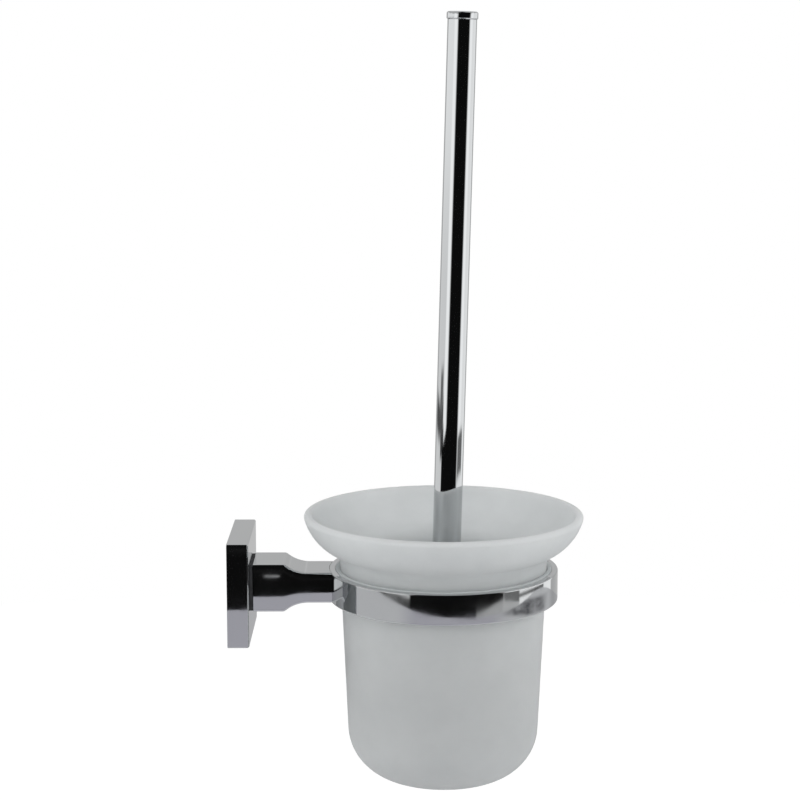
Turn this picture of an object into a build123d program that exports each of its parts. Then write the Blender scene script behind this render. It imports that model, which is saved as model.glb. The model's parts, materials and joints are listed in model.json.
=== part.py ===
from build123d import *
import os
from math import cos, radians, sin, tan

# Wall-mounted toilet brush holder, in millimetres.
# The origin is the middle of the wall plate on the wall, +X points into the room and +Z up.

# Fits
FIT = 0.1  # gap between pieces that seat in each other and stay there
LIFT_GAP = 0.3  # gap round pieces that lift out
THREAD_FIT = 0.05  # radial gap of a screw in its hole

# Cover plate on the wall
ROSETTE_WIDTH = 58.0
ROSETTE_HEIGHT = 51.6
ROSETTE_DEPTH = 10.6
ROSETTE_WALL = 2.0
ROSETTE_FRONT = 2.5
ROSETTE_EDGE = 0.6

# Bracket under the cover plate
BRACKET_SHEET = 2.0
BRACKET_WIDTH = 38.0
BRACKET_REACH = 6.8
BRACKET_BEND = 1.0
WALL_HOLE_R = 2.5
WALL_HOLE_SPACING = 24.0

# Grub screw in the plate's underside
GRUB_R = 2.0
GRUB_LENGTH = 5.5
GRUB_POINT = 1.0
GRUB_INSET = 0.4
GRUB_KEY = 2.0
GRUB_KEY_DEPTH = 2.0
GRUB_BOSS_R = 3.4
GRUB_BOSS_HEIGHT = 3.0

# Arm from the plate to the ring
ARM_RISE = 0.3  # height of the arm's middle above the plate's middle
ARM_WIDTH = 27.0
ARM_BASE_HEIGHT = 24.0
ARM_BASE_LENGTH = 16.4
ARM_SWEEP_R = 18.0
ARM_SHOULDER_R = 2.0
ARM_EDGE = 1.2
SEAL_THICKNESS = 0.9
SEAL_INSET = 0.6
PIP_R = 1.4
PIP_LENGTH = 2.5
PIP_SPACING = 17.0

# Screw from the plate into the arm
ARM_SCREW_R = 3.0
ARM_SCREW_LENGTH = 14.0
ARM_SCREW_HEAD_R = 5.2
ARM_SCREW_HEAD_HEIGHT = 3.0
ARM_SCREW_KEY = 4.0
ARM_SCREW_KEY_DEPTH = 1.8
ARM_SCREW_EDGE = 0.6
WASHER_R = 5.6
WASHER_THICKNESS = 1.3
WASHER_SPLIT = 0.9
BORE_SPARE = 1.0  # room left past the end of a screw

# Ring
RING_REACH = 105.6  # wall to the ring's axis
RING_R = 56.8
RING_WALL = 3.2
RING_HEIGHT = 15.0
RING_EDGE = 0.9

# Countersunk screw from the ring into the arm
RING_SCREW_R = 2.5
RING_SCREW_LENGTH = 13.0
RING_SCREW_HEAD_R = 4.4
RING_SCREW_KEY = 3.0
RING_SCREW_KEY_DEPTH = 1.4
COUNTERSINK_ANGLE = 90.0

# Clear collar between ring and glass
GASKET_FLANGE_R = 56.0
GASKET_FLANGE = 2.0
GASKET_EDGE = 0.8
GASKET_SKIRT = 13.0

# Frosted glass cup
CUP_SEAT_R = 51.3  # outer radius at the ring's top
CUP_DRAFT = 2.55
CUP_DEPTH = 106.4  # ring's top down to the cup's underside
CUP_CORNER_R = 25.5
CUP_LIP_R = 69.6
CUP_LIP_RISE = 27.9  # ring's top up to the lip
CUP_BOWL_R = 26.0
CUP_NECK_RISE = 7.6  # ring's top up to where the bowl flares out
CUP_NECK_FILLET = 6.0
CUP_WALL = 4.2
CUP_BASE = 5.0
CUP_RIM_ROUND = 1.9

# Brush handle
BRUSH_FOOT = -1.3  # brush tip from the cup's axis, along X
BRUSH_LEAN = 1.47
TUBE_R = 7.1
TUBE_WALL = 1.0
TUBE_LENGTH = 271.9
CAP_R = 7.6
CAP_HEIGHT = 3.8
CAP_EDGE = 0.6
CAP_SPIGOT = 12.0
CAP_SPIGOT_CHAMFER = 0.6
INSERT_LENGTH = 24.0
STUD_R = 4.0
STUD_IN_CORE = 18.0
STUD_IN_HANDLE = 20.0
STUD_CHAMFER = 0.8

# Brush head
HEAD_R = 38.0
HEAD_LENGTH = 97.0
CORE_R = 11.0
CORE_SKIN = 2.0
CORE_COLLAR = 10.0
CORE_TOP_R = 8.6
STRAND_R = 0.6
STRAND_SIDES = 3
STRAND_ROOT = 1.0
SIDE_ROWS = 11
SIDE_ROW_STRANDS = 28
TOP_ROW_TRIM = 3.5
TIP_ROWS = 4
TIP_ROW_ANGLE = 18.0
TIP_ROW_STRANDS = 6

# Places worked out from the sizes
inner_width = ROSETTE_WIDTH - 2 * ROSETTE_WALL
inner_height = ROSETTE_HEIGHT - 2 * ROSETTE_WALL
rosette_cavity = ROSETTE_DEPTH - ROSETTE_FRONT
arm_start = ROSETTE_DEPTH + SEAL_THICKNESS
ring_bore = RING_R - RING_WALL
ring_top = ARM_RISE + RING_HEIGHT / 2
cup_bottom = ring_top - CUP_DEPTH
cup_floor = cup_bottom + CUP_BASE
cup_lip = ring_top + CUP_LIP_RISE
tube_bore = TUBE_R - TUBE_WALL

# The planes that the pieces are drawn on
ring_axis = Axis((RING_REACH, 0, 0), (0, 0, 1))
ring_section = Plane((RING_REACH, 0, 0), x_dir=(1, 0, 0), z_dir=(0, -1, 0))
arm_axis = Axis((0, 0, ARM_RISE), (1, 0, 0))
arm_section = Plane((0, 0, ARM_RISE), x_dir=(1, 0, 0), z_dir=(0, -1, 0))
brush_tip = Vector(RING_REACH + BRUSH_FOOT, 0, cup_floor + LIFT_GAP)
brush_up = Vector(sin(radians(BRUSH_LEAN)), 0, cos(radians(BRUSH_LEAN)))
brush_out = Vector(cos(radians(BRUSH_LEAN)), 0, -sin(radians(BRUSH_LEAN)))
brush_axis = Axis(brush_tip, brush_up)
brush_section = Plane(brush_tip, x_dir=brush_out, z_dir=(0, -1, 0))
brush_base = Plane(brush_tip, x_dir=brush_out, z_dir=brush_up)

os.makedirs("parts", exist_ok=True)


# Wall bracket: a channel of sheet steel, its back on the wall
bracket_top = inner_height / 2 - FIT
grub_tip = -ROSETTE_HEIGHT / 2 + GRUB_INSET + GRUB_LENGTH
bracket_foot = grub_tip + FIT
with BuildPart() as wall_bracket:
    with BuildSketch(Plane.XZ):
        with BuildLine():
            channel = Polyline(
                (BRACKET_REACH, bracket_foot),
                (0, bracket_foot),
                (0, bracket_top),
                (BRACKET_REACH, bracket_top),
            )
            offset(channel, amount=BRACKET_SHEET, side=Side.RIGHT, mode=Mode.ADD)
        make_face()
    extrude(amount=BRACKET_WIDTH / 2, both=True)
    inner_bends = wall_bracket.edges().filter_by(Axis.Y).filter_by_position(
        Axis.X, BRACKET_SHEET, BRACKET_SHEET
    )
    fillet(inner_bends, BRACKET_BEND)
    with Locations(Plane((BRACKET_SHEET, 0, 0), x_dir=(0, 1, 0), z_dir=(1, 0, 0))):
        with GridLocations(WALL_HOLE_SPACING, 0, 2, 1):
            Hole(WALL_HOLE_R, depth=BRACKET_SHEET)
wall_bracket.part.label = "wall_bracket"
export_step(wall_bracket.part, "parts/wall_bracket.step")


# Rosette: a flat box open to the wall, with a boss for the grub screw
grub_x = rosette_cavity / 2
grub_plane = Plane((grub_x, 0, -ROSETTE_HEIGHT / 2), x_dir=(1, 0, 0), z_dir=(0, 0, -1))
with BuildPart() as rosette:
    with BuildSketch(Plane.YZ):
        Rectangle(ROSETTE_WIDTH, ROSETTE_HEIGHT)
    extrude(amount=ROSETTE_DEPTH)
    outer_edges = rosette.edges().filter_by(Axis.X) + rosette.faces().sort_by(Axis.X)[-1].edges()
    chamfer(outer_edges, ROSETTE_EDGE)
    with BuildSketch(Plane.YZ):
        Rectangle(inner_width, inner_height)
    extrude(amount=rosette_cavity, mode=Mode.SUBTRACT)
    with BuildSketch(grub_plane.offset(-ROSETTE_WALL / 2)):
        Circle(GRUB_BOSS_R)
    extrude(amount=-(ROSETTE_WALL / 2 + GRUB_BOSS_HEIGHT))
    with Locations(grub_plane):
        Hole(GRUB_R + THREAD_FIT, depth=ROSETTE_WALL + GRUB_BOSS_HEIGHT)
    with BuildSketch(Plane.YZ.offset(rosette_cavity)):
        with Locations((0, ARM_RISE)):
            Circle(ARM_SCREW_R + FIT)
            with GridLocations(PIP_SPACING, 0, 2, 1):
                Circle(PIP_R + FIT)
    extrude(amount=ROSETTE_FRONT, mode=Mode.SUBTRACT)
rosette.part.label = "rosette"
export_step(rosette.part, "parts/rosette.step")


# Grub screw: pointed, with a hexagon key hole below
with BuildPart() as grub_screw:
    with BuildSketch(Plane((grub_x, 0, -ROSETTE_HEIGHT / 2 + GRUB_INSET))):
        Circle(GRUB_R)
    extrude(amount=GRUB_LENGTH)
    chamfer(grub_screw.faces().sort_by(Axis.Z)[-1].edges(), GRUB_POINT)
    with BuildSketch(grub_screw.faces().sort_by(Axis.Z)[0]):
        RegularPolygon(GRUB_KEY / 2, 6, major_radius=False)
    extrude(amount=-GRUB_KEY_DEPTH, mode=Mode.SUBTRACT)
grub_screw.part.label = "grub_screw"
export_step(grub_screw.part, "parts/grub_screw.step")


# Arm: a bar with a deep base, drawn in by two hollow sweeps to the ring's own height
sweep_drop = (ARM_BASE_HEIGHT - RING_HEIGHT) / 2
sweep_run = (2 * ARM_SWEEP_R * sweep_drop - sweep_drop**2) ** 0.5
base_end = ROSETTE_DEPTH + ARM_BASE_LENGTH
with BuildPart() as arm:
    with BuildSketch(arm_section) as arm_profile:
        with BuildLine():
            Line((arm_start, 0), (arm_start, ARM_BASE_HEIGHT / 2))
            Line((arm_start, ARM_BASE_HEIGHT / 2), (base_end, ARM_BASE_HEIGHT / 2))
            RadiusArc(
                (base_end, ARM_BASE_HEIGHT / 2),
                (base_end + sweep_run, RING_HEIGHT / 2),
                -ARM_SWEEP_R,
            )
            Line((base_end + sweep_run, RING_HEIGHT / 2), (RING_REACH, RING_HEIGHT / 2))
            Line((RING_REACH, RING_HEIGHT / 2), (RING_REACH, 0))
            mirror(about=Plane.XZ)
        make_face()
        shoulders = arm_profile.vertices().filter_by_position(Axis.X, base_end - FIT, base_end + FIT)
        fillet(shoulders, ARM_SHOULDER_R)
    extrude(amount=ARM_WIDTH / 2, both=True)
    long_edges = arm.faces().filter_by(Axis.Y).edges().filter_by(Axis.Z, reverse=True)
    fillet(long_edges, ARM_EDGE)
    with BuildSketch(Plane.XY.offset(ARM_RISE - ARM_BASE_HEIGHT)):
        with Locations((RING_REACH, 0)):
            Circle(RING_R + FIT)
    extrude(amount=2 * ARM_BASE_HEIGHT, mode=Mode.SUBTRACT)
    with BuildSketch(Plane((arm_start, 0, ARM_RISE), x_dir=(0, 1, 0), z_dir=(-1, 0, 0))):
        with GridLocations(PIP_SPACING, 0, 2, 1):
            Circle(PIP_R)
    extrude(amount=PIP_LENGTH)
    with Locations(Plane((arm_start, 0, ARM_RISE), z_dir=(-1, 0, 0))):
        Hole(
            ARM_SCREW_R + THREAD_FIT,
            depth=ARM_SCREW_LENGTH - WASHER_THICKNESS - ROSETTE_FRONT - SEAL_THICKNESS + BORE_SPARE,
        )
    with Locations(Plane((RING_REACH - ring_bore, 0, ARM_RISE), z_dir=(1, 0, 0))):
        Hole(RING_SCREW_R + THREAD_FIT, depth=RING_SCREW_LENGTH + BORE_SPARE)
arm.part.label = "arm"
export_step(arm.part, "parts/arm.step")


# Seal: a thin pad that keeps the arm's end off the rosette
with BuildPart() as arm_seal:
    with BuildSketch(Plane((ROSETTE_DEPTH, 0, ARM_RISE), x_dir=(0, 1, 0), z_dir=(1, 0, 0))):
        Rectangle(ARM_WIDTH - 2 * SEAL_INSET, ARM_BASE_HEIGHT - 2 * SEAL_INSET)
        Circle(ARM_SCREW_R + FIT, mode=Mode.SUBTRACT)
        with GridLocations(PIP_SPACING, 0, 2, 1):
            Circle(PIP_R + FIT, mode=Mode.SUBTRACT)
    extrude(amount=SEAL_THICKNESS)
arm_seal.part.label = "arm_seal"
export_step(arm_seal.part, "parts/arm_seal.step")


# Washer and screw inside the rosette, in line with the arm
washer_back = rosette_cavity - WASHER_THICKNESS
with BuildPart() as arm_washer:
    with BuildSketch(Plane((washer_back, 0, ARM_RISE), x_dir=(0, 1, 0), z_dir=(1, 0, 0))):
        Circle(WASHER_R)
        Circle(ARM_SCREW_R + FIT, mode=Mode.SUBTRACT)
        with Locations((0, WASHER_R)):
            Rectangle(WASHER_SPLIT, 2 * WASHER_R - ARM_SCREW_R, mode=Mode.SUBTRACT)
    extrude(amount=WASHER_THICKNESS)
arm_washer.part.label = "arm_washer"
export_step(arm_washer.part, "parts/arm_washer.step")

with BuildPart() as arm_screw:
    with BuildSketch(Plane((washer_back, 0, ARM_RISE), z_dir=(-1, 0, 0))):
        Circle(ARM_SCREW_HEAD_R)
    extrude(amount=ARM_SCREW_HEAD_HEIGHT)
    chamfer(arm_screw.faces().sort_by(Axis.X)[0].edges(), ARM_SCREW_EDGE)
    with BuildSketch(arm_screw.faces().sort_by(Axis.X)[0]):
        RegularPolygon(ARM_SCREW_KEY / 2, 6, major_radius=False)
    extrude(amount=-ARM_SCREW_KEY_DEPTH, mode=Mode.SUBTRACT)
    with BuildSketch(Plane((washer_back, 0, ARM_RISE), z_dir=(1, 0, 0))):
        Circle(ARM_SCREW_R)
    extrude(amount=ARM_SCREW_LENGTH)
    chamfer(arm_screw.faces().sort_by(Axis.X)[-1].edges(), ARM_SCREW_EDGE)
arm_screw.part.label = "arm_screw"
export_step(arm_screw.part, "parts/arm_screw.step")


# Ring: a flat band with softened edges and a countersunk hole towards the arm
inside_of_ring = Plane((RING_REACH - ring_bore, 0, ARM_RISE), z_dir=(1, 0, 0))
with BuildPart() as ring:
    with BuildSketch(ring_section) as band:
        with Locations((RING_R - RING_WALL / 2, ARM_RISE)):
            Rectangle(RING_WALL, RING_HEIGHT)
        chamfer(band.vertices(), RING_EDGE)
    revolve(axis=ring_axis)
    with Locations(inside_of_ring):
        CounterSinkHole(
            RING_SCREW_R + FIT,
            RING_SCREW_HEAD_R + FIT,
            depth=2 * RING_WALL,
            counter_sink_angle=COUNTERSINK_ANGLE,
        )
ring.part.label = "ring"
export_step(ring.part, "parts/ring.step")


# Ring screw: its flat head lies level with the ring's bore
head_taper = (RING_SCREW_HEAD_R - RING_SCREW_R) / tan(radians(COUNTERSINK_ANGLE / 2))
head_x = RING_REACH - ring_bore - FIT
with BuildPart() as ring_screw:
    with BuildSketch(arm_section):
        with BuildLine():
            Polyline(
                (head_x, 0),
                (head_x, RING_SCREW_HEAD_R),
                (head_x - head_taper, RING_SCREW_R),
                (head_x - RING_SCREW_LENGTH, RING_SCREW_R),
                (head_x - RING_SCREW_LENGTH, 0),
                close=True,
            )
        make_face()
    revolve(axis=arm_axis)
    with BuildSketch(Plane((head_x, 0, ARM_RISE), z_dir=(1, 0, 0))):
        RegularPolygon(RING_SCREW_KEY / 2, 6, major_radius=False)
    extrude(amount=-RING_SCREW_KEY_DEPTH, mode=Mode.SUBTRACT)
ring_screw.part.label = "ring_screw"
export_step(ring_screw.part, "parts/ring_screw.step")


# Glass cup: one half section, drawn once for the outside and once for the inside
def cup_radius(height):
    """Outer radius of the cup's tapered wall at a height."""
    return CUP_SEAT_R + (height - ring_top) * tan(radians(CUP_DRAFT))


def bowl_arc(skin):
    """Radius and centre of the bowl's arc, and its foot on the neck, drawn in from the outside by skin."""
    neck = Vector(cup_radius(ring_top + CUP_NECK_RISE), ring_top + CUP_NECK_RISE)
    chord = Vector(CUP_LIP_R, cup_lip) - neck
    to_centre = (CUP_BOWL_R**2 - chord.length**2 / 4) ** 0.5
    centre = neck + chord * 0.5 + Vector(-chord.Y, chord.X).normalized() * to_centre
    radius = CUP_BOWL_R - skin
    slope = tan(radians(CUP_DRAFT))
    gap = cup_radius(centre.Y) - skin - centre.X
    drop = (slope * gap + (radius**2 * (1 + slope**2) - gap**2) ** 0.5) / (1 + slope**2)
    return radius, centre, centre.Y - drop


def cup_half(skin, floor):
    """Half section of the cup, drawn in from the outside by skin, with its bottom at floor."""
    bowl_r, centre, neck = bowl_arc(skin)
    lip_r = centre.X + (bowl_r**2 - (centre.Y - cup_lip) ** 2) ** 0.5
    with BuildSketch(ring_section) as half:
        with BuildLine():
            Polyline(
                (0, cup_lip),
                (0, floor),
                (cup_radius(floor) - skin, floor),
                (cup_radius(neck) - skin, neck),
            )
            RadiusArc((cup_radius(neck) - skin, neck), (lip_r, cup_lip), -bowl_r)
            Line((lip_r, cup_lip), (0, cup_lip))
        make_face()
        fillet(half.vertices().group_by(Axis.Y)[0].sort_by(Axis.X)[-1], CUP_CORNER_R - skin)
        fillet(half.vertices().group_by(Axis.Y)[-2], CUP_NECK_FILLET + skin)
    return half.sketch


with BuildPart() as glass_cup:
    revolve(cup_half(0, cup_bottom), axis=ring_axis)
    revolve(cup_half(CUP_WALL, cup_floor), axis=ring_axis, mode=Mode.SUBTRACT)
    fillet(glass_cup.faces().sort_by(Axis.Z)[-1].edges(), CUP_RIM_ROUND)
glass_cup.part.label = "glass_cup"
export_step(glass_cup.part, "parts/glass_cup.step")


# Gasket: a tapered collar in the ring, with a thin flange on the ring's top
skirt_foot = ring_top - GASKET_SKIRT
flange_top = ring_top + GASKET_FLANGE
with BuildPart() as cup_gasket:
    with BuildSketch(ring_section):
        with BuildLine():
            Polyline(
                (cup_radius(skirt_foot) + LIFT_GAP, skirt_foot),
                (ring_bore - FIT, skirt_foot),
                (ring_bore - FIT, ring_top),
                (GASKET_FLANGE_R, ring_top),
                (GASKET_FLANGE_R, flange_top - GASKET_EDGE),
                (GASKET_FLANGE_R - GASKET_EDGE, flange_top),
                (cup_radius(flange_top) + LIFT_GAP, flange_top),
                close=True,
            )
        make_face()
    revolve(axis=ring_axis)
cup_gasket.part.label = "cup_gasket"
export_step(cup_gasket.part, "parts/cup_gasket.step")


# Handle tube, its end cap and the threaded insert in its lower end
tube_top = HEAD_LENGTH + TUBE_LENGTH
with BuildPart() as handle_tube:
    with BuildSketch(brush_base.offset(HEAD_LENGTH)):
        Circle(TUBE_R)
        Circle(tube_bore, mode=Mode.SUBTRACT)
    extrude(amount=TUBE_LENGTH)
handle_tube.part.label = "handle_tube"
export_step(handle_tube.part, "parts/handle_tube.step")

with BuildPart() as handle_cap:
    with BuildSketch(brush_base.offset(tube_top)):
        Circle(CAP_R)
    extrude(amount=CAP_HEIGHT)
    chamfer(handle_cap.edges().filter_by(GeomType.CIRCLE), CAP_EDGE)
    with BuildSketch(brush_base.offset(tube_top)):
        Circle(tube_bore - FIT)
    extrude(amount=-CAP_SPIGOT)
    chamfer(handle_cap.edges().sort_by(brush_axis)[0], CAP_SPIGOT_CHAMFER)
handle_cap.part.label = "handle_cap"
export_step(handle_cap.part, "parts/handle_cap.step")

with BuildPart() as handle_insert:
    with BuildSketch(brush_base.offset(HEAD_LENGTH)):
        Circle(tube_bore - FIT)
        Circle(STUD_R + THREAD_FIT, mode=Mode.SUBTRACT)
    extrude(amount=INSERT_LENGTH)
handle_insert.part.label = "handle_insert"
export_step(handle_insert.part, "parts/handle_insert.step")

with BuildPart() as head_stud:
    with BuildSketch(brush_base.offset(HEAD_LENGTH - STUD_IN_CORE)):
        Circle(STUD_R)
    extrude(amount=STUD_IN_CORE + STUD_IN_HANDLE)
    chamfer(head_stud.edges().filter_by(GeomType.CIRCLE), STUD_CHAMFER)
head_stud.part.label = "head_stud"
export_step(head_stud.part, "parts/head_stud.step")


# Brush core: a rounded rod under its bristle-bearing skin, with a collar for the handle
core_inner = CORE_R - CORE_SKIN
collar_foot = HEAD_LENGTH - CORE_COLLAR
with BuildPart() as brush_core:
    with BuildSketch(brush_section):
        with BuildLine():
            CenterArc((0, HEAD_R), core_inner, -90, 90)
            Polyline(
                (core_inner, HEAD_R),
                (core_inner, collar_foot),
                (CORE_R, collar_foot),
                (CORE_R, HEAD_LENGTH - CORE_COLLAR / 2),
                (CORE_TOP_R, HEAD_LENGTH),
                (0, HEAD_LENGTH),
                (0, HEAD_R - core_inner),
            )
        make_face()
    revolve(axis=brush_axis)
    with Locations(brush_base.offset(HEAD_LENGTH)):
        Hole(STUD_R + THREAD_FIT, depth=STUD_IN_CORE + BORE_SPARE)
brush_core.part.label = "brush_core"
export_step(brush_core.part, "parts/brush_core.step")


# Bristles: strands stand square on the core's skin and end on the head's round outline
skin_bore = core_inner + FIT


def strand_plane(height, turn, dip):
    """Plane at a strand's root, turned round the brush axis and dipped from level towards the tip."""
    level = brush_out.rotate(Axis((0, 0, 0), brush_up), turn)
    outward = level * cos(radians(dip)) - brush_up * sin(radians(dip))
    root = brush_tip + brush_up * height + outward * (CORE_R - STRAND_ROOT)
    return Plane(root, x_dir=level.cross(brush_up), z_dir=outward)


def strand_row(height, count, first_turn, dip, reach):
    """One ring of strands, from inside the skin out to the reach."""
    turns = [first_turn + 360 * place / count for place in range(count)]
    with BuildSketch(*[strand_plane(height, turn, dip) for turn in turns]) as roots:
        RegularPolygon(STRAND_R, STRAND_SIDES)
    return extrude(roots.sketch, amount=reach - CORE_R + STRAND_ROOT, mode=Mode.PRIVATE).solids()


skin_foot = HEAD_R
skin_top = collar_foot - FIT
row_pitch = (skin_top - skin_foot) / SIDE_ROWS
flat_turn = 180 / SIDE_ROW_STRANDS  # the skin has a flat for each strand of two staggered rows
with BuildPart() as side_bristles:
    with BuildSketch(brush_base.offset(skin_foot)):
        RegularPolygon(CORE_R, 2 * SIDE_ROW_STRANDS)
        Circle(skin_bore, mode=Mode.SUBTRACT)
    extrude(amount=skin_top - skin_foot)
    side_strands = []
    for row in range(SIDE_ROWS):
        row_height = skin_foot + row_pitch * (row + 0.5)
        row_turn = flat_turn * (row % 2 + 0.5)
        row_reach = HEAD_R - TOP_ROW_TRIM * (row / (SIDE_ROWS - 1)) ** 2
        side_strands += strand_row(row_height, SIDE_ROW_STRANDS, row_turn, 0, row_reach)
    add(side_strands)
side_bristles.part.label = "side_bristles"
export_step(side_bristles.part, "parts/side_bristles.step")

with BuildPart() as tip_bristles:
    with BuildSketch(brush_section):
        with BuildLine():
            CenterArc((0, skin_foot - FIT), CORE_R, -90, 90)
            Line((CORE_R, skin_foot - FIT), (skin_bore, skin_foot - FIT))
            CenterArc((0, skin_foot - FIT), skin_bore, -90, 90)
            Line((0, skin_foot - FIT - skin_bore), (0, skin_foot - FIT - CORE_R))
        make_face()
    revolve(axis=brush_axis)
    tip_strands = strand_row(skin_foot - FIT, 1, 0, 90, HEAD_R - FIT)
    for row in range(1, TIP_ROWS + 1):
        row_dip = 90 - TIP_ROW_ANGLE * row
        tip_strands += strand_row(skin_foot - FIT, TIP_ROW_STRANDS * row, 0, row_dip, HEAD_R - FIT)
    add(tip_strands)
tip_bristles.part.label = "tip_bristles"
export_step(tip_bristles.part, "parts/tip_bristles.step")
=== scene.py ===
"""Looks of a wall-mounted toilet brush holder: chromed brass, etched glass and a nylon brush."""

import json
import math
import random

import bmesh
import bpy
from mathutils import Matrix, Vector


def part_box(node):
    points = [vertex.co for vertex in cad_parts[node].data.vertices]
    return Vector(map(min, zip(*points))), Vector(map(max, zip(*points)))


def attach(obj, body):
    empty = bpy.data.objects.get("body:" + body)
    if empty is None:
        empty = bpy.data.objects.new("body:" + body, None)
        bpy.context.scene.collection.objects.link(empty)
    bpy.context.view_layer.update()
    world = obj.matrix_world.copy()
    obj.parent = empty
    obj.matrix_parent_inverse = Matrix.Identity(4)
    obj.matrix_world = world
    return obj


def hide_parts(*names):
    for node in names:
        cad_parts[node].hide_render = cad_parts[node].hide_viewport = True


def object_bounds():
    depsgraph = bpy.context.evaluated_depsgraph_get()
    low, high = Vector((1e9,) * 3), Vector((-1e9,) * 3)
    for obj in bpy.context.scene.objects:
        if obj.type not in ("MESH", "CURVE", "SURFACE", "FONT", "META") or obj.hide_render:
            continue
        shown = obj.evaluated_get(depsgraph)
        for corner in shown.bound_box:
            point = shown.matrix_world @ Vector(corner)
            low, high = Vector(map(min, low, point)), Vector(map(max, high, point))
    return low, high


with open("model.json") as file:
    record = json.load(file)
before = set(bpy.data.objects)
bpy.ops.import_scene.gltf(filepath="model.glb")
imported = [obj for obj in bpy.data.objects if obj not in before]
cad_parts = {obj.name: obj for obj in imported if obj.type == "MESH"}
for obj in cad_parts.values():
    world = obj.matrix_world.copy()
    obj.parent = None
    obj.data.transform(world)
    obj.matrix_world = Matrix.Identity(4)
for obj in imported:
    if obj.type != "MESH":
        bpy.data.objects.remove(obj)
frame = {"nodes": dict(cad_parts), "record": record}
nodes = frame["nodes"]
cad_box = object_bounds()

MM = 0.001

# Viewpoint of the photograph, in degrees and metres
CAMERA_AZIMUTH = -0.33
CAMERA_ELEVATION = 8.88
CAMERA_DISTANCE = 0.98246
CAMERA_TARGET = Vector((0.08401, 0.0, 0.09181))
CAMERA_LENS = 90
CAMERA_SENSOR = 36

# Arm from the plate to the ring
ARM_BASE_LENGTH = 16.4 * MM
ARM_END_EDGE = 0.3 * MM
ARM_SWEEP_R = 18.0 * MM
ARM_SHOULDER_R = 2.0 * MM
ARM_EDGE = 1.2 * MM
ARM_CROWN = 0.045 * MM  # swell that buffing leaves on the arm's sides
ARM_CROWN_POWER = 8  # keeps the swell off the top and the underside

# Ring round the glass
RING_WALL = 3.2 * MM
RING_EDGE = 0.6 * MM

# Collar between the ring and the glass
CUP_SEAT_R = 51.3 * MM
CUP_DRAFT = 2.55
COLLAR_GAP = 0.3 * MM
COLLAR_SKIRT = 13.0 * MM
COLLAR_RISE = 0.3 * MM
COLLAR_EDGE = 0.5 * MM

# Brush head
CORE_R = 11.0 * MM
CORE_COLLAR = 10.0 * MM
CORE_TOP_R = 8.6 * MM
STUD_HOLE_R = 4.05 * MM
STUD_HOLE_DEPTH = 19.0 * MM
STUD_MIDDLE = 98.0 * MM  # end of the bristles to the stud's middle
HEAD_R = 38.0 * MM
HEAD_LENGTH = 97.0 * MM
SIDE_ROWS = 11
SIDE_ROW_TUFTS = 20
TOP_ROW_TRIM = 3.5 * MM
TIP_ROWS = 4
TIP_ROW_TUFTS = 6
TIP_ROW_ANGLE = 18.0
TUFT_FIBRES = 15
TUFT_ROOT = 1.0 * MM  # depth of the tufts in the core, and their radius there
TUFT_SPLAY = 2.6 * MM
FIBRE_ROOT_R = 0.25 * MM
FIBRE_TIP_R = 0.17 * MM
FIBRE_WAVE = 0.7 * MM
FIBRE_SHORT = 1.4 * MM  # most that a fibre falls short of the tuft's reach
FIBRE_RINGS = 4
FIBRE_SIDES = 3
FIBRE_SEED = 7

# Fineness of the rounded forms
TURN_STEPS = 160
EDGE_STEPS = 5
EDGE_REST = 0.15 * MM  # narrow strip beside a rounded edge that keeps the flat beyond it flat
SIDE_STEPS = 12
SWEEP_STEPS = 14
SHARP_ANGLE = 40.0
BEVEL_ANGLE = 30.0
BEVEL_STEPS = 3
BEVEL_WIDTH = 0.22 * MM
JOIN_DISTANCE = 0.001 * MM

# Values of a noise that count as its lowest and highest
NOISE_LOW = 0.3
NOISE_HIGH = 0.7


def linear(hex_colour):
    """Linear RGBA of an sRGB hex value."""
    channels = [int(hex_colour[i : i + 2], 16) / 255 for i in (1, 3, 5)]
    return [c / 12.92 if c <= 0.04045 else ((c + 0.055) / 1.055) ** 2.4 for c in channels] + [1.0]


def add_node(tree, kind, settings, inputs):
    """Adds a shader node with its settings; an input takes a plain value or another node's socket."""
    node = tree.nodes.new("ShaderNode" + kind)
    for name, value in settings.items():
        setattr(node, name, value)
    for socket, value in inputs.items():
        if isinstance(value, bpy.types.NodeSocket):
            tree.links.new(value, node.inputs[socket])
        else:
            node.inputs[socket].default_value = value
    return node


def reckon(tree, operation, *values):
    """Result of a math node on one or more values."""
    return add_node(tree, "Math", {"operation": operation}, dict(enumerate(values))).outputs[0]


def mixed(tree, kind, share, first, second):
    """A number or colour that goes from the first to the second by a share."""
    inputs = {"Factor": share, "A": first, "B": second}
    return add_node(tree, "Mix", {"data_type": kind}, inputs).outputs["Result"]


def spread(tree, value, start, end, low, high, kind="LINEAR"):
    """A value's span from start to end, spread from low to high."""
    inputs = {"Value": value, "From Min": start, "From Max": end, "To Min": low, "To Max": high}
    return add_node(tree, "MapRange", {"interpolation_type": kind}, inputs).outputs["Result"]


def new_material(name):
    """An empty node material, its tree and the object's own coordinates in it."""
    material = bpy.data.materials.new(name)
    material.use_nodes = True
    tree = material.node_tree
    tree.nodes.clear()
    return material, tree, add_node(tree, "TexCoord", {}, {}).outputs["Object"]


def grain(tree, place, size, detail, low=0.0, high=1.0):
    """Noise of a real size in metres, spread from low to high."""
    noise = add_node(tree, "TexNoise", {}, {"Vector": place, "Scale": 1 / size, "Detail": detail})
    return spread(tree, noise.outputs["Fac"], NOISE_LOW, NOISE_HIGH, low, high)


def bumped(tree, height, strength, distance):
    """Surface direction over small hills of a height from 0 to 1 times the distance."""
    inputs = {"Height": height, "Strength": strength, "Distance": distance}
    return add_node(tree, "Bump", {}, inputs).outputs["Normal"]


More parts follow.
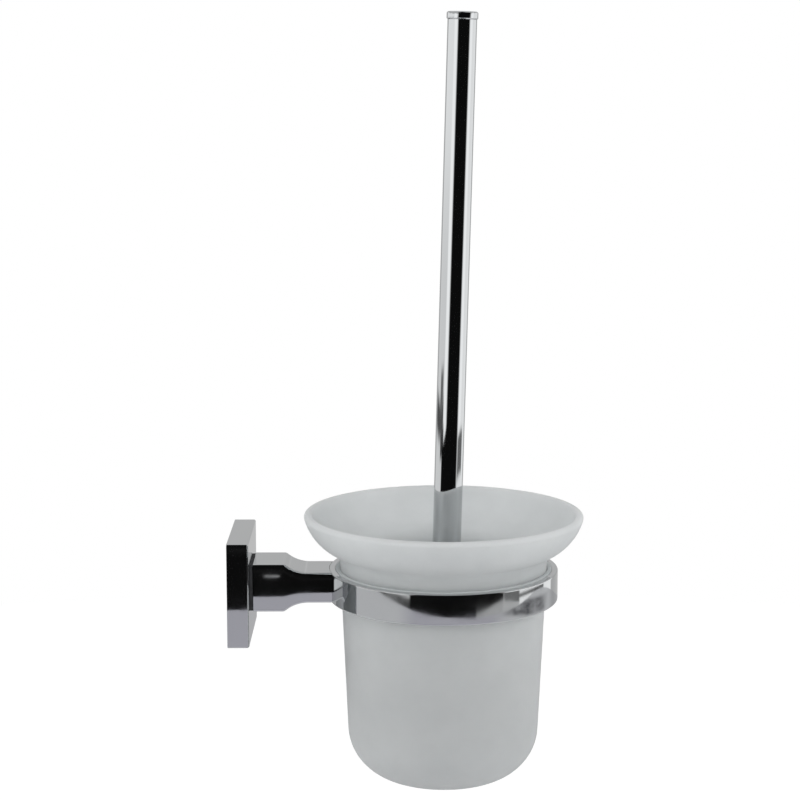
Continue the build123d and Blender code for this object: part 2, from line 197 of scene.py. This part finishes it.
def finish_surface(tree, inputs):
    """Principled surface on the material's output."""
    shader = add_node(tree, "BsdfPrincipled", {}, inputs)
    add_node(tree, "OutputMaterial", {}, {"Surface": shader.outputs["BSDF"]})


# Materials
def chromed_brass():
    """Brass buffed to a mirror and chrome plated: bright, faintly wavy, with a breath of haze."""
    material, tree, place = new_material("chromed_brass")
    wave = grain(tree, place, size=9 * MM, detail=1.0)
    finish_surface(
        tree,
        {
            # Chrome gives back a little over half of the light, so what it mirrors is dimmed
            "Base Color": linear("#C2C4C5"),
            "Metallic": 1.0,
            "Roughness": grain(tree, place, size=14 * MM, detail=5.0, low=0.012, high=0.035),
            "Normal": bumped(tree, wave, strength=0.012, distance=0.05 * MM),
        },
    )
    return material


def zinc_plated_steel():
    """Pressed and turned steel under bright zinc: dull silver with a drifting blue and straw tint."""
    material, tree, place = new_material("zinc_plated_steel")
    drift = grain(tree, place, size=7 * MM, detail=3.0)
    speck = grain(tree, place, size=0.5 * MM, detail=2.0)
    finish_surface(
        tree,
        {
            "Base Color": mixed(tree, "RGBA", drift, linear("#9198A0"), linear("#A39F94")),
            "Metallic": 1.0,
            "Roughness": grain(tree, place, size=3 * MM, detail=4.0, low=0.28, high=0.46),
            "Normal": bumped(tree, speck, strength=0.2, distance=0.05 * MM),
        },
    )
    return material


def etched_glass():
    """Soda glass frosted by acid inside and out: milky, cool grey, with a fine satin tooth."""
    material, tree, place = new_material("etched_glass")
    # The etch is finer than a pixel; it is drawn at 0.8 mm so that it shows
    tooth = grain(tree, place, size=0.8 * MM, detail=2.0)
    cloud = grain(tree, place, size=20 * MM, detail=3.0)
    finish_surface(
        tree,
        {
            "Base Color": mixed(tree, "RGBA", cloud, linear("#D1D5D6"), linear("#D8DCDD")),
            "Roughness": grain(tree, place, size=1.2 * MM, detail=3.0, low=0.46, high=0.56),
            "IOR": 1.5,
            "Transmission Weight": 0.35,
            "Subsurface Weight": 1.0,
            "Subsurface Radius": (1.0, 1.0, 1.0),
            "Subsurface Scale": 18 * MM,
            "Normal": bumped(tree, tooth, strength=0.25, distance=0.1 * MM),
        },
    )
    return material


def natural_pvc():
    """Soft vinyl without pigment: cloudy, pale grey, with a dull sheen."""
    material, tree, place = new_material("natural_pvc")
    finish_surface(
        tree,
        {
            "Base Color": linear("#B7BBBC"),
            "Roughness": grain(tree, place, size=2 * MM, detail=3.0, low=0.5, high=0.62),
            "IOR": 1.53,
            "Subsurface Weight": 0.5,
            "Subsurface Radius": (1.0, 1.0, 1.0),
            "Subsurface Scale": 2 * MM,
        },
    )
    return material


def seal_rubber_painted_shade():
    """Black sheet rubber: matt, with a dusty grey bloom; its dark tone also stands in for painted
    shade in the gap between the plate and the arm.
    """
    material, tree, place = new_material("seal_rubber_painted_shade")
    bloom = grain(tree, place, size=2 * MM, detail=3.0)
    finish_surface(
        tree,
        {
            "Base Color": mixed(tree, "RGBA", bloom, linear("#38393B"), linear("#4A4B4D")),
            "Roughness": grain(tree, place, size=1 * MM, detail=2.0, low=0.7, high=0.9),
        },
    )
    return material


def white_polypropylene():
    """Moulded polypropylene: waxy white with a soft, slightly uneven sheen."""
    material, tree, place = new_material("white_polypropylene")
    cast = grain(tree, place, size=1.5 * MM, detail=3.0)
    finish_surface(
        tree,
        {
            "Base Color": linear("#EDEDEA"),
            "Roughness": grain(tree, place, size=6 * MM, detail=3.0, low=0.36, high=0.48),
            "IOR": 1.49,
            "Subsurface Weight": 0.15,
            "Subsurface Radius": (1.0, 1.0, 1.0),
            "Subsurface Scale": 1.0 * MM,
            "Normal": bumped(tree, cast, strength=0.1, distance=0.05 * MM),
        },
    )
    return material


def white_nylon():
    """Drawn nylon monofilament: white, a little glassy, each tuft of a slightly different tone."""
    material, tree, place = new_material("white_nylon")
    tone = grain(tree, place, size=4 * MM, detail=2.0)
    finish_surface(
        tree,
        {
            "Base Color": mixed(tree, "RGBA", tone, linear("#E6E6E2"), linear("#F6F6F4")),
            "Roughness": grain(tree, place, size=3 * MM, detail=2.0, low=0.28, high=0.42),
            "IOR": 1.53,
        },
    )
    return material


finishes = {
    "chrome": chromed_brass(),
    "zinc_steel": zinc_plated_steel(),
    "black_rubber": seal_rubber_painted_shade(),
    "clear_plastic": natural_pvc(),
    "frosted_glass": etched_glass(),
    "white_plastic": white_polypropylene(),
    "white_nylon": white_nylon(),
}
for row in frame["record"]["subparts"]:
    nodes[row["node"]].data.materials.clear()
    nodes[row["node"]].data.materials.append(finishes[row["material_slot"]])


# Forms
def rounded(corners, radius, side_steps=1):
    """Closed outline with each corner rounded and each side cut into equal steps."""
    outline = []
    befores = corners[-1:] + corners[:-1]
    afters = corners[1:] + corners[:1]
    for before, corner, after in zip(befores, corners, afters):
        to_before = (before - corner).normalized()
        to_after = (after - corner).normalized()
        half = to_before.angle(to_after) / 2
        cut = radius / math.tan(half)
        centre = corner + (to_before + to_after).normalized() * (radius / math.sin(half))
        start = corner + to_before * cut - centre
        end = corner + to_after * cut - centre
        outline.append(corner + to_before * (cut + EDGE_REST))
        for step in range(EDGE_STEPS + 1):
            outline.append(centre + start.slerp(end, step / EDGE_STEPS) * radius)
        side_start = corner + to_after * (cut + EDGE_REST)
        side_end = after - to_after * (cut + EDGE_REST)
        for step in range(side_steps):
            outline.append(side_start.lerp(side_end, step / side_steps))
    return outline


def turned(section, foot, up):
    """Points and faces of a closed section of (radius, height) points turned round an axis."""
    out = up.orthogonal().normalized()
    points = []
    faces = []
    count = len(section)
    for step in range(TURN_STEPS):
        spoke = Matrix.Rotation(2 * math.pi * step / TURN_STEPS, 3, up) @ out
        points += [foot + up * height + spoke * radius for radius, height in section]
        here = step * count
        there = (step + 1) % TURN_STEPS * count
        for place in range(count):
            after = (place + 1) % count
            faces.append((here + place, there + place, there + after, here + after))
    return points, faces


def new_piece(name, points, faces, slot, body, *stands_for):
    """A closed mesh piece in a slot's finish that rides on a body and stands for CAD nodes."""
    mesh = bpy.data.meshes.new(name)
    mesh.from_pydata(points, [], faces)
    shape = bmesh.new()
    shape.from_mesh(mesh)
    bmesh.ops.remove_doubles(shape, verts=shape.verts, dist=JOIN_DISTANCE)
    bmesh.ops.recalc_face_normals(shape, faces=shape.faces)
    shape.to_mesh(mesh)
    shape.free()
    mesh.shade_smooth()
    mesh.set_sharp_from_angle(angle=math.radians(SHARP_ANGLE))
    mesh.materials.append(finishes[slot])
    piece = bpy.data.objects.new(name, mesh)
    bpy.context.scene.collection.objects.link(piece)
    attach(piece, body)
    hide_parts(*stands_for)


def middle(node):
    """Middle of a CAD node's box."""
    low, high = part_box(node)
    return (low + high) / 2


UP = Vector((0, 0, 1))
ring_low, ring_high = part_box("ring")
ring_r = (ring_high.x - ring_low.x) / 2
ring_bore = ring_r - RING_WALL
ring_foot = Vector((middle("ring").x, middle("ring").y, 0))
brush_up = (middle("handle_tube") - middle("head_stud")).normalized()
brush_tip = middle("head_stud") - brush_up * STUD_MIDDLE


def ring_band():
    """The ring: a flat band with rounded edges."""
    corners = [
        Vector((ring_bore, ring_low.z)),
        Vector((ring_r, ring_low.z)),
        Vector((ring_r, ring_high.z)),
        Vector((ring_bore, ring_high.z)),
    ]
    points, faces = turned(rounded(corners, RING_EDGE), ring_foot, UP)
    new_piece("ring_band", points, faces, "chrome", "holder", "ring")


def gasket_collar():
    """The collar: a tapered sleeve between the ring and the glass, rounded at its upper edge."""
    lean = math.tan(math.radians(CUP_DRAFT))
    foot = ring_high.z - COLLAR_SKIRT
    top = ring_high.z + COLLAR_RISE
    section = [
        (CUP_SEAT_R - COLLAR_SKIRT * lean + COLLAR_GAP, foot),
        (ring_bore, foot),
        (ring_bore, top - COLLAR_EDGE),
    ]
    for step in range(1, EDGE_STEPS + 1):
        turn = math.pi / 2 * step / EDGE_STEPS
        radius = ring_bore - COLLAR_EDGE * (1 - math.cos(turn))
        section.append((radius, top - COLLAR_EDGE * (1 - math.sin(turn))))
    section.append((CUP_SEAT_R + COLLAR_RISE * lean + COLLAR_GAP, top))
    points, faces = turned(section, ring_foot, UP)
    new_piece("gasket_collar", points, faces, "clear_plastic", "holder", "cup_gasket")


def arm_profile():
    """Places along the arm and its half height there: level base, round shoulder, hollow sweep."""
    low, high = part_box("arm")
    plate_face, arm_start = (corner.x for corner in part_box("arm_seal"))
    base = (high.z - low.z) / 2
    thin = (ring_high.z - ring_low.z) / 2
    base_end = plate_face + ARM_BASE_LENGTH
    drop = base - thin
    run = math.sqrt(2 * ARM_SWEEP_R * drop - drop**2)
    slope = math.asin(run / ARM_SWEEP_R)
    cut = ARM_SHOULDER_R * math.tan(slope / 2)
    profile = [(arm_start + ARM_END_EDGE, base), (base_end - cut - EDGE_REST, base)]
    for step in range(EDGE_STEPS + 1):
        turn = slope * step / EDGE_STEPS
        place = base_end - cut + ARM_SHOULDER_R * math.sin(turn)
        profile.append((place, base - ARM_SHOULDER_R * (1 - math.cos(turn))))
    sweep_start = math.asin((run - cut * math.cos(slope)) / ARM_SWEEP_R)
    for step in range(1, SWEEP_STEPS + 1):
        turn = sweep_start * (1 - step / SWEEP_STEPS)
        place = base_end + run - ARM_SWEEP_R * math.sin(turn)
        profile.append((place, thin + ARM_SWEEP_R * (1 - math.cos(turn))))
    profile.append((profile[-1][0] + EDGE_REST, thin))
    return profile


def arm_section(half_width, half_height, edge):
    """Rounded outline of the arm across its length, with sides that swell a little."""
    corners = [
        Vector((-half_width, -half_height)),
        Vector((half_width, -half_height)),
        Vector((half_width, half_height)),
        Vector((-half_width, half_height)),
    ]
    section = []
    for y, z in rounded(corners, edge, SIDE_STEPS):
        swell = ARM_CROWN * (1 - (z / half_height) ** 2)
        section.append((y + math.copysign(swell, y) * abs(y / half_width) ** ARM_CROWN_POWER, z))
    return section


def arm_bar():
    """The arm: sections from the seal at the plate to the hollow end on the ring."""
    low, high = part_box("arm")
    half_width = (high.y - low.y) / 2
    height = (high.z + low.z) / 2
    profile = arm_profile()
    start, base = profile[0]
    end_face = arm_section(half_width - ARM_END_EDGE, base - ARM_END_EDGE, ARM_EDGE)
    rows = [[(start - ARM_END_EDGE, y, z) for y, z in end_face]]
    for place, half_height in profile:
        rows.append([(place, y, z) for y, z in arm_section(half_width, half_height, ARM_EDGE)])
    hollow = []
    for _, y, z in rows[-1]:
        hollow.append((ring_foot.x - math.sqrt(ring_r**2 - y**2), y, z))
    rows.append(hollow)
    points = [Vector((x, y, z + height)) for row in rows for x, y, z in row]
    count = len(hollow)
    faces = [tuple(range(count)), tuple(range(len(points) - count, len(points)))]
    for row in range(len(rows) - 1):
        here = row * count
        there = here + count
        for place in range(count):
            after = (place + 1) % count
            faces.append((here + place, here + after, there + after, there + place))
    new_piece("arm_bar", points, faces, "chrome", "holder", "arm")


def brush_core():
    """The brush core: a rod with a rounded end, a tapered collar and a hole for the stud."""
    section = [(0, HEAD_R - CORE_R)]
    for step in range(1, SWEEP_STEPS + 1):
        turn = math.pi / 2 * step / SWEEP_STEPS
        section.append((CORE_R * math.sin(turn), HEAD_R - CORE_R * math.cos(turn)))
    section += [
        (CORE_R, HEAD_LENGTH - CORE_COLLAR / 2),
        (CORE_TOP_R, HEAD_LENGTH),
        (STUD_HOLE_R, HEAD_LENGTH),
        (STUD_HOLE_R, HEAD_LENGTH - STUD_HOLE_DEPTH),
        (0, HEAD_LENGTH - STUD_HOLE_DEPTH),
    ]
    points, faces = turned(section, brush_tip, brush_up)
    new_piece("brush_rod", points, faces, "white_plastic", "brush", "brush_core")


def add_fibre(points, faces, root, end, wave):
    """One bristle fibre: a tapered thread, bent a little between its root and its end."""
    along = (end - root).normalized()
    side = along.orthogonal().normalized()
    first = len(points)
    for ring in range(FIBRE_RINGS):
        share = ring / (FIBRE_RINGS - 1)
        centre = root.lerp(end, share) + wave * math.sin(math.pi * share)
        radius = FIBRE_ROOT_R + (FIBRE_TIP_R - FIBRE_ROOT_R) * share
        for corner in range(FIBRE_SIDES):
            turn = Matrix.Rotation(2 * math.pi * corner / FIBRE_SIDES, 3, along)
            points.append(centre + turn @ side * radius)
    for ring in range(FIBRE_RINGS - 1):
        low = first + ring * FIBRE_SIDES
        high = low + FIBRE_SIDES
        for corner in range(FIBRE_SIDES):
            after = (corner + 1) % FIBRE_SIDES
            faces.append((low + corner, low + after, high + after, high + corner))
    last = len(points) - FIBRE_SIDES
    faces.append(tuple(range(first, first + FIBRE_SIDES)))
    faces.append(tuple(range(last, last + FIBRE_SIDES)))


def add_tuft(points, faces, height, turn, dip, reach):
    """A tuft of fibres: turned round the brush, dipped towards its end, fanned out to its reach."""
    level = Matrix.Rotation(turn, 3, brush_up) @ brush_up.orthogonal().normalized()
    out = level * math.cos(dip) - brush_up * math.sin(dip)
    across = level.cross(brush_up)
    over = out.cross(across)
    root = brush_tip + brush_up * height + out * (CORE_R - TUFT_ROOT)
    for _ in range(TUFT_FIBRES):
        angle = chance.uniform(0, 2 * math.pi)
        off_middle = math.sqrt(chance.random())
        aside = (across * math.cos(angle) + over * math.sin(angle)) * off_middle
        length = reach - CORE_R + TUFT_ROOT - chance.random() * FIBRE_SHORT
        wave = across * chance.uniform(-1, 1) + over * chance.uniform(-1, 1)
        start = root + aside * TUFT_ROOT
        end = root + out * length + aside * TUFT_SPLAY
        add_fibre(points, faces, start, end, wave * FIBRE_WAVE)


def bristle_tufts():
    """The bristles: level rows of tufts on the core's side, and a fan of tufts on its end."""
    points, faces = [], []
    pitch = (HEAD_LENGTH - CORE_COLLAR - HEAD_R) / SIDE_ROWS
    for row in range(SIDE_ROWS):
        reach = HEAD_R - TOP_ROW_TRIM * (row / (SIDE_ROWS - 1)) ** 2
        for tuft in range(SIDE_ROW_TUFTS):
            # Every other row is turned by half a step
            turn = 2 * math.pi * (tuft + row % 2 / 2) / SIDE_ROW_TUFTS
            add_tuft(points, faces, HEAD_R + pitch * (row + 0.5), turn, 0, reach)
    new_piece("side_tufts", points, faces, "white_nylon", "brush", "side_bristles")
    points, faces = [], []
    add_tuft(points, faces, HEAD_R, 0, math.pi / 2, HEAD_R)
    for row in range(1, TIP_ROWS + 1):
        for tuft in range(TIP_ROW_TUFTS * row):
            turn = 2 * math.pi * tuft / (TIP_ROW_TUFTS * row)
            add_tuft(points, faces, HEAD_R, turn, math.radians(90 - TIP_ROW_ANGLE * row), HEAD_R)
    new_piece("tip_tufts", points, faces, "white_nylon", "brush", "tip_bristles")


def soften(*pieces):
    """Rounds the narrow edge facets of CAD pieces and keeps the flats beside them flat."""
    for piece in pieces:
        nodes[piece].modifiers.new("join_facets", "WELD").merge_threshold = JOIN_DISTANCE
        bevel = nodes[piece].modifiers.new("round_edges", "BEVEL")
        bevel.width = BEVEL_WIDTH
        bevel.segments = BEVEL_STEPS
        bevel.limit_method = "ANGLE"
        bevel.angle_limit = math.radians(BEVEL_ANGLE)
        bevel.harden_normals = True


chance = random.Random(FIBRE_SEED)
ring_band()
gasket_collar()
arm_bar()
brush_core()
bristle_tufts()
soften("rosette", "handle_cap")


# Studio: what mirror surfaces see by direction, each panel over the ones before it
# name: (azimuth from, to, softness), (elevation from, to, softness), slope of its edges, level
# Angles are in degrees; azimuth 0 is the camera's side, and it grows to the right
FRONT_SPAN = (-35, 61)
FRONT_SOFT = 7
PANELS = {
    "upper back": ((-180, 180, 1.5), (8, 40, 1.5), 0, 0.6),
    "left wall": ((-180, -20, 1.5), (-90, 8, 1.5), 0, 1.25),
    "left wall foot": ((-180, -20, 1.5), (-90, -1.5, 3), 0, 1.0),
    "left glow": ((-62, -20, 5), (-8.9, 8, 0.3), 0, 1.45),
    "right wall": ((20, 180, 1.5), (-90, 8, 1.5), 0, 1.25),
    "right glow": ((20, 88, 4), (-11.1, 8, 0.3), 0, 1.45),
    "back left": ((-185, -135, 1.5), (-90, 9, 1.5), 0, 0.57),
    "back right": ((135, 185, 1.5), (-90, 9, 1.5), 0, 0.57),
    "left band": ((-135, -63, 4), (-8.5, -7.45, 0.3), 0, 0.12),
    "left band top": ((-95, -70, 6), (-7.7, -6.5, 0.3), 0, 0.21),
    "left band end": ((-84, -56, 4), (-9.1, -8.3, 0.2), 0, 0.075),
    "left skirting": ((-86, -30, 1.5), (-90, -13.2, 0.3), 0, 0.075),
    "left ledge": ((-60, -33, 1.5), (-14.42, -13.3, 0.03), -0.0083, 1.27),
    "right band": ((66, 110, 4), (-12.4, -11.15, 0.15), 0.005, 0.21),
    "right ledge": ((80, 130, 1.5), (-90, -13.3, 0.3), 0, 1.27),
    "right ledge shade": ((78, 118, 1.5), (-14.34, -14.23, 0.03), 0.0083, 0.075),
    "dark front": ((*FRONT_SPAN, FRONT_SOFT), (-13.1, 95, 0.1), 0, 0.006),
    "dark front middle": ((-68, 20, 2), (-13.2, -8.85, 0.12), 0, 0.006),
    "dark front foot": ((*FRONT_SPAN, 1.5), (-90, -13.1, 0.1), 0, 0.006),
    "right post": ((60.5, 80, 1.5), (-14.62, -13, 0.04), 0, 0.22),
    "right apron": ((31, 62, 1.5), (-90, -14.76, 0.03), 0.015, 0.57),
    "right apron end": ((60, 80, 1.5), (-90, -14.62, 0.04), 0, 0.67),
}
ZENITH_LEVEL = 0.75
SOFT_FRONT = 1.17  # light on matt surfaces from the camera's side and from behind
SOFT_BACK = 0.45
SOFT_TOP = 0.93  # share of that light which comes from straight above

# Floor: a pale sheet under the part; mirrors show it darker in places, in painted shade that only
# glossy rays see
FLOOR_DROP = 0.5187
FLOOR_R = 2.172
FLOOR_RIGHT_R = 2.08
FLOOR_REAR_R = 1.8
FLOOR_BACK = 0.2  # how far its middle lies behind the part
FLOOR_STEPS = 128
FLOOR_TINT = "#E2E2E2"
# Greys that only mirrors see: painted shade of the sheet, lighter at the sides than at the front and
# the rear
FLOOR_SIDE_MIRROR_SHADE = "#F3F3F5"
FLOOR_FRONT_MIRROR_SHADE = "#D8D6DF"
FLOOR_BACK_MIRROR_SHADE = "#C8C8CA"
# Painted shade: a dark mottled patch on the right of the sheet, for mirrors only
FLOOR_DARK_TINT = "#58585C"
FLOOR_FRONT = (-36, 58, 12)  # azimuth from, to and softness
FLOOR_SIDES = (-135, 130, 10)
FLOOR_DARK = (60, 118, 10)
FLOOR_DARK_REACH = (2.125, 2.215, 0.014)  # distance from, to and softness
FLOOR_SHADE_MOTTLE_TURN = 12  # width of a mottle in the painted shade patch, in degrees
FLOOR_SHADE_MOTTLE_REACH = 0.035  # depth of a mottle in the painted shade patch, in metres
FLOOR_SHADE_MOTTLE_LEAST = 0.35
# Painted reflection: dark bands on the sheet, seen only in mirrors
FLOOR_PAINTED_DARK_TINT = "#28282A"
FLOOR_PAINTED_DARK = ((-72, 12, 6), (58, 122, 6), (-172, -118, 6))  # painted reflection: dark bands on the sheet that mirrors in higher views show
FLOOR_PAINTED_DARK_REACH = (1.4, 1.66, 0.02)
FLOOR_LIFT = 0.4  # glow that keeps the sheet white for the camera

# Small strip of light that shows as a streak on the arm
STRIP_PLACE = Vector((-0.038, -1.0, -0.23))
STRIP_WIDTH = 14 * MM
STRIP_HEIGHT = 3 * MM
STRIP_LEVEL = 0.52

# Lamps on both sides, which mirrors don't show
LAMP_PLACES = {"left_lamp": Vector((-1.05, -0.4, 0.6)), "right_lamp": Vector((1.25, -0.4, 0.55))}
LAMP_SIZE = 0.9
LAMP_POWER = 5


def bearing(tree, direction):
    """Azimuth of a direction in degrees."""
    axes = add_node(tree, "SeparateXYZ", {}, {"Vector": direction})
    front = reckon(tree, "MULTIPLY", axes.outputs["Y"], -1.0)
    return reckon(tree, "DEGREES", reckon(tree, "ARCTAN2", axes.outputs["X"], front))


def within(tree, value, low, high, soft):
    """Share from 1 between two values to 0 outside them, with soft ends."""
    away = reckon(tree, "ABSOLUTE", reckon(tree, "SUBTRACT", value, (low + high) / 2))
    half = (high - low) / 2
    return spread(tree, away, half - soft, half + soft, 1.0, 0.0, "SMOOTHSTEP")


def studio_world():
    """Even light on matt surfaces, panels in mirrors, white for the camera and through glass."""
    world = bpy.data.worlds.new("studio")
    world.use_nodes = True
    tree = world.node_tree
    tree.nodes.clear()
    direction = add_node(tree, "TexCoord", {}, {}).outputs["Generated"]
    axes = add_node(tree, "SeparateXYZ", {}, {"Vector": direction})
    elevation = reckon(tree, "DEGREES", reckon(tree, "ARCSINE", axes.outputs["Z"]))
    azimuth = bearing(tree, direction)
    level = ZENITH_LEVEL
    for across, up, slope, panel_level in PANELS.values():
        tilt = reckon(tree, "MULTIPLY_ADD", azimuth, -slope, slope * (across[0] + across[1]) / 2)
        height = reckon(tree, "ADD", elevation, tilt)
        share = reckon(tree, "MULTIPLY", within(tree, azimuth, *across), within(tree, height, *up))
        level = mixed(tree, "FLOAT", share, level, panel_level)
    path = add_node(tree, "LightPath", {}, {}).outputs
    sharp = reckon(tree, "MAXIMUM", path["Is Glossy Ray"], path["Is Transmission Ray"])
    soft = spread(tree, axes.outputs["Y"], -1.0, 1.0, SOFT_FRONT, SOFT_BACK)
    dimmed = spread(tree, axes.outputs["Z"], 0.0, 1.0, 1.0, SOFT_TOP)
    lit = mixed(tree, "FLOAT", sharp, reckon(tree, "MULTIPLY", soft, dimmed), level)
    front = within(tree, azimuth, *FRONT_SPAN, FRONT_SOFT)
    through = mixed(tree, "FLOAT", front, path["Is Transmission Ray"], 0.0)
    white = reckon(tree, "MAXIMUM", path["Is Camera Ray"], through)
    seen = mixed(tree, "FLOAT", white, lit, 1.0)
    sky = add_node(tree, "Background", {}, {"Color": linear("#FFFFFF"), "Strength": seen})
    add_node(tree, "OutputWorld", {}, {"Surface": sky.outputs[0]})
    bpy.context.scene.world = world


def stage_mesh(name, points, material):
    """A flat stage piece of one face."""
    mesh = bpy.data.meshes.new(name)
    mesh.from_pydata(points, [], [list(range(len(points)))])
    mesh.materials.append(material)
    piece = bpy.data.objects.new(name, mesh)
    bpy.context.scene.collection.objects.link(piece)
    return piece


def paper_with_painted_shade():
    """White backdrop paper, with painted grey shade that only mirrors show."""
    material, tree, place = new_material("paper_with_painted_shade")
    path = add_node(tree, "LightPath", {}, {}).outputs
    azimuth = bearing(tree, place)
    reach = add_node(tree, "VectorMath", {"operation": "LENGTH"}, {0: place}).outputs["Value"]

    def patch(turn_span, reach_span):
        """Share of the sheet that lies in a span of azimuth and of distance."""
        in_turn = within(tree, azimuth, *turn_span)
        return reckon(tree, "MULTIPLY", in_turn, within(tree, reach, *reach_span))

    # Painted shade: the dark mottled patch on the right that only mirrors show
    shade_mottle_place = add_node(
        tree,
        "CombineXYZ",
        {},
        {
            "X": reckon(tree, "DIVIDE", azimuth, FLOOR_SHADE_MOTTLE_TURN),
            "Y": reckon(tree, "DIVIDE", reach, FLOOR_SHADE_MOTTLE_REACH),
        },
    ).outputs[0]
    mottle = grain(tree, shade_mottle_place, size=1.0, detail=3.0, low=FLOOR_SHADE_MOTTLE_LEAST)
    shares = [
        (within(tree, azimuth, *FLOOR_SIDES), FLOOR_SIDE_MIRROR_SHADE),
        (within(tree, azimuth, *FLOOR_FRONT), FLOOR_FRONT_MIRROR_SHADE),
        (reckon(tree, "MULTIPLY", patch(FLOOR_DARK, FLOOR_DARK_REACH), mottle), FLOOR_DARK_TINT),
    ]
    # Painted reflection: dark bands that only mirrors show
    for turn_span in FLOOR_PAINTED_DARK:
        shares.append((patch(turn_span, FLOOR_PAINTED_DARK_REACH), FLOOR_PAINTED_DARK_TINT))
    # Painted shade: glossy rays see the sheet in these greys instead of its pale tint
    mirrored_painted_shade = linear(FLOOR_BACK_MIRROR_SHADE)
    for share, colour in shares:
        mirrored_painted_shade = mixed(tree, "RGBA", share, mirrored_painted_shade, linear(colour))
    tint = mixed(tree, "RGBA", path["Is Glossy Ray"], linear(FLOOR_TINT), mirrored_painted_shade)
    pale = add_node(tree, "BsdfDiffuse", {}, {"Color": tint})
    lift = reckon(tree, "MULTIPLY", path["Is Camera Ray"], FLOOR_LIFT)
    glow = add_node(tree, "Emission", {}, {"Strength": lift})
    both = add_node(tree, "AddShader", {}, {0: pale.outputs[0], 1: glow.outputs[0]})
    add_node(tree, "OutputMaterial", {}, {"Surface": both.outputs[0]})
    return material


def strip_glow():
    """Plain light of a narrow strip."""
    material, tree, _ = new_material("strip_glow")
    glow = add_node(tree, "Emission", {}, {"Strength": STRIP_LEVEL})
    add_node(tree, "OutputMaterial", {}, {"Surface": glow.outputs[0]})
    return material


def floor_sheet():
    """The floor: a wide oval, less wide on the right and at the rear."""
    centre = (cad_box[0] + cad_box[1]) / 2
    outline = []
    for step in range(FLOOR_STEPS):
        turn = 2 * math.pi * step / FLOOR_STEPS
        across = FLOOR_R if math.cos(turn) < 0 else FLOOR_RIGHT_R
        along = FLOOR_R if math.sin(turn) < 0 else FLOOR_REAR_R
        x = centre.x + across * math.cos(turn)
        outline.append((x, FLOOR_BACK + along * math.sin(turn), -FLOOR_DROP))
    stage_mesh("floor", outline, paper_with_painted_shade())


def strip_light():
    """The strip: a small glowing face that only mirrors show."""
    along = Vector((STRIP_WIDTH / 2, 0, 0))
    upward = Vector((0, 0, STRIP_HEIGHT / 2))
    corners = [-along - upward, along - upward, along + upward, -along + upward]
    strip = stage_mesh("strip_light", [STRIP_PLACE + corner for corner in corners], strip_glow())
    strip.visible_camera = False
    strip.visible_diffuse = False


def soft_lamps():
    """Square lamps turned to the middle of the picture."""
    for name, place in LAMP_PLACES.items():
        lamp = bpy.data.lights.new(name, "AREA")
        lamp.size = LAMP_SIZE
        lamp.energy = LAMP_POWER
        holder = bpy.data.objects.new(name, lamp)
        holder.location = place
        holder.rotation_euler = (CAMERA_TARGET - place).to_track_quat("-Z", "Y").to_euler()
        holder.visible_glossy = False
        bpy.context.scene.collection.objects.link(holder)


def photo_camera():
    """Camera at the viewpoint of the photograph."""
    azimuth = math.radians(CAMERA_AZIMUTH)
    elevation = math.radians(CAMERA_ELEVATION)
    level = math.cos(elevation)
    back = Vector((math.sin(azimuth) * level, -math.cos(azimuth) * level, math.sin(elevation)))
    lens = bpy.data.cameras.new("photo_camera")
    lens.lens = CAMERA_LENS
    lens.sensor_width = CAMERA_SENSOR
    camera = bpy.data.objects.new("photo_camera", lens)
    camera.location = CAMERA_TARGET + back * CAMERA_DISTANCE
    camera.rotation_euler = (-back).to_track_quat("-Z", "Y").to_euler()
    bpy.context.scene.collection.objects.link(camera)
    bpy.context.scene.camera = camera


studio_world()
floor_sheet()
strip_light()
soft_lamps()
photo_camera()
bpy.context.scene.view_settings.view_transform = "Standard"
